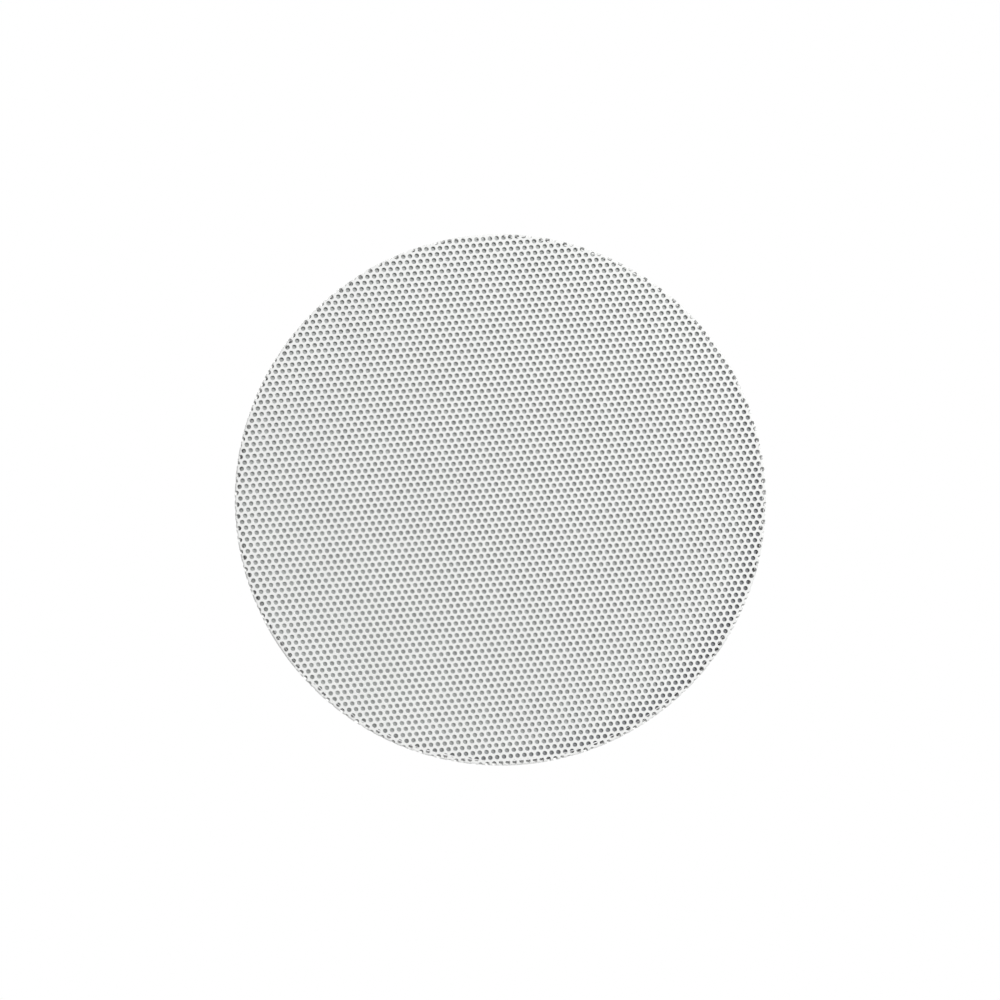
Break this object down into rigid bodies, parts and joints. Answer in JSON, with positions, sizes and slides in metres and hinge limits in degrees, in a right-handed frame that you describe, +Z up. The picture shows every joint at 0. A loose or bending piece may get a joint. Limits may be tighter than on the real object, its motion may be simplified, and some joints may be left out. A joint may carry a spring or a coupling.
{
  "type": "flush-mount loudspeaker",
  "caption": "Round flush-mount two-way loudspeaker whose perforated white steel grille covers the whole front, with swing-out clamps behind.",
  "frame": {"origin": "centre of the flange's rear bearing face, on the collar's axis", "axes": "-Y out of the grille into the room, +Y into the cavity behind the board, +Z up"},
  "size_m": [0.234, 0.0937, 0.234],
  "materials": {
    "painted_steel": "matte white powder coat",
    "fleece": "light grey non-woven fleece",
    "nickel": "bright nickel plate",
    "black_abs": "fine-grained moulded black",
    "black_foam": "closed-cell foam",
    "zinc_steel": "zinc plated",
    "brass": "turned brass",
    "glass_nylon": "glass-filled nylon",
    "black_steel": "satin black coat",
    "butyl": "satin butyl rubber",
    "cone_poly": "satin mica-filled polypropylene",
    "cap_poly": "glossy moulded cap",
    "former_film": "amber film",
    "copper": "enamelled copper wire",
    "spider_cloth": "phenolic-dipped cloth",
    "ferrite": "sintered ferrite",
    "boot_rubber": "soft matte rubber",
    "phenolic": "phenolic board",
    "anodised": "dark anodised",
    "silk": "coated silk",
    "circuit_board": "green solder mask",
    "film_box": "moulded box",
    "sleeve": "shrink sleeve",
    "cement": "cement filled ceramic",
    "red_plastic": "moulded",
    "black_plastic": "moulded",
    "spring_steel": "spring wire",
    "wire_jacket": "PVC insulation",
    "magnet_coat": "black epoxy coat on neodymium"
  },
  "bodies": {
    "frame": {"grille_magnets": "magnet_coat", "frame": "black_abs", "ceiling_gasket": "black_foam", "woofer_gasket": "black_foam", "basket": "black_steel", "surround": "butyl", "spider": "spider_cloth", "top_plate": "zinc_steel", "ferrite_magnet": "ferrite", "back_plate": "zinc_steel", "magnet_cover": "boot_rubber", "woofer_screws": "black_steel", "terminal_tab": "phenolic", "tweeter_bridge": "black_abs", "bridge_screws": "black_steel", "crossover_board": "circuit_board", "board_screws": "zinc_steel", "woofer_inductor_core": "ferrite", "woofer_inductor_winding": "copper", "tweeter_inductor": "copper", "film_capacitor": "film_box", "electrolytic_capacitor": "sleeve", "power_resistor": "cement", "treble_switch": "zinc_steel", "bass_switch": "zinc_steel", "terminal_block": "black_plastic", "lever_axle": "zinc_steel", "lever_springs": "spring_steel", "tether_eye": "zinc_steel", "input_lead": "wire_jacket", "woofer_lead": "wire_jacket", "tweeter_lead": "wire_jacket"},
    "grille": {"perforated_grille": "painted_steel", "grille_scrim": "fleece"},
    "cone": {"cone": "cone_poly", "dust_cap": "cap_poly", "voice_coil_former": "former_film", "voice_coil": "copper"},
    "gimbal": {"gimbal_ring": "black_abs", "pan_pins": "zinc_steel"},
    "tweeter": {"tweeter_housing": "black_abs", "tilt_pins": "zinc_steel", "tweeter_faceplate": "anodised", "tweeter_dome": "silk", "tweeter_cup": "zinc_steel", "tweeter_pole": "zinc_steel", "tweeter_magnet": "nickel"},
    "treble_slider": {"treble_slider": "black_plastic"},
    "bass_slider": {"bass_slider": "black_plastic"},
    "red_lever": {"red_lever": "red_plastic"},
    "black_lever": {"black_lever": "black_plastic"},
    "clamp_screw_top": {"clamp_screw_top": "zinc_steel"},
    "clamp_nut_top": {"clamp_nut_top": "brass"},
    "clamp_dog_top": {"clamp_dog_top": "glass_nylon"},
    "clamp_screw_left": {"clamp_screw_left": "zinc_steel"},
    "clamp_nut_left": {"clamp_nut_left": "brass"},
    "clamp_dog_left": {"clamp_dog_left": "glass_nylon"},
    "clamp_screw_right": {"clamp_screw_right": "zinc_steel"},
    "clamp_nut_right": {"clamp_nut_right": "brass"},
    "clamp_dog_right": {"clamp_dog_right": "glass_nylon"}
  },
  "joints": [
    {"name": "grille_pull", "type": "slide", "parent": "frame", "child": "grille", "axis": [0, -1, 0], "range_m": [0, 0.06]},
    {"name": "cone_stroke", "type": "slide", "parent": "frame", "child": "cone", "axis": [0, -1, 0], "range_m": [-0.004, 0.004], "stiffness_N_per_m": 1500, "deforming": ["surround", "spider"]},
    {"name": "tweeter_pan", "type": "hinge", "parent": "frame", "child": "gimbal", "pos_m": [0, 0.009, 0], "axis": [0, 0, 1], "range_deg": [-15, 15]},
    {"name": "tweeter_tilt", "type": "hinge", "parent": "gimbal", "child": "tweeter", "pos_m": [0, 0.009, 0], "axis": [1, 0, 0], "range_deg": [-15, 15]},
    {"name": "treble_slide", "type": "slide", "parent": "frame", "child": "treble_slider", "axis": [1, 0, 0], "range_m": [0, 0.004]},
    {"name": "bass_slide", "type": "slide", "parent": "frame", "child": "bass_slider", "axis": [1, 0, 0], "range_m": [0, 0.004]},
    {"name": "screw_top_turn", "type": "hinge", "parent": "frame", "child": "clamp_screw_top", "pos_m": [-0.009, 0, 0.093], "axis": [0, 1, 0], "range_deg": [0, 6845]},
    {"name": "nut_top_slide", "type": "slide", "parent": "frame", "child": "clamp_nut_top", "axis": [0, -1, 0], "range_m": [0, 0.038]},
    {"name": "dog_top_swing", "type": "hinge", "parent": "clamp_nut_top", "child": "clamp_dog_top", "pos_m": [-0.009, 0.046, 0.093], "axis": [0, -1, 0], "range_deg": [0, 90]},
    {"name": "screw_left_turn", "type": "hinge", "parent": "frame", "child": "clamp_screw_left", "pos_m": [-0.07604, 0, -0.05429], "axis": [0, 1, 0], "range_deg": [0, 6845]},
    {"name": "nut_left_slide", "type": "slide", "parent": "frame", "child": "clamp_nut_left", "axis": [0, -1, 0], "range_m": [0, 0.038]},
    {"name": "dog_left_swing", "type": "hinge", "parent": "clamp_nut_left", "child": "clamp_dog_left", "pos_m": [-0.07604, 0.046, -0.05429], "axis": [0, -1, 0], "range_deg": [0, 90]},
    {"name": "screw_right_turn", "type": "hinge", "parent": "frame", "child": "clamp_screw_right", "pos_m": [0.08504, 0, -0.03871], "axis": [0, 1, 0], "range_deg": [0, 6845]},
    {"name": "nut_right_slide", "type": "slide", "parent": "frame", "child": "clamp_nut_right", "axis": [0, -1, 0], "range_m": [0, 0.038]},
    {"name": "dog_right_swing", "type": "hinge", "parent": "clamp_nut_right", "child": "clamp_dog_right", "pos_m": [0.08504, 0.046, -0.03871], "axis": [0, -1, 0], "range_deg": [0, 90]},
    {"name": "red_press", "type": "hinge", "parent": "frame", "child": "red_lever", "pos_m": [0.08227, 0.023, 0.0475], "axis": [-0.5, 0, 0.866], "range_deg": [0, 11], "stiffness_Nm_per_rad": 0.1, "deforming": ["lever_springs"]},
    {"name": "black_press", "type": "hinge", "parent": "frame", "child": "black_lever", "pos_m": [0.08227, 0.023, 0.0475], "axis": [-0.5, 0, 0.866], "range_deg": [0, 11], "stiffness_Nm_per_rad": 0.1, "deforming": ["lever_springs"]}
  ],
  "couplings": [
    {"joint": "screw_top_turn", "follows": "nut_top_slide", "rad_per_m": 3141.6},
    {"joint": "screw_left_turn", "follows": "nut_left_slide", "rad_per_m": 3141.6},
    {"joint": "screw_right_turn", "follows": "nut_right_slide", "rad_per_m": 3141.6}
  ]
}
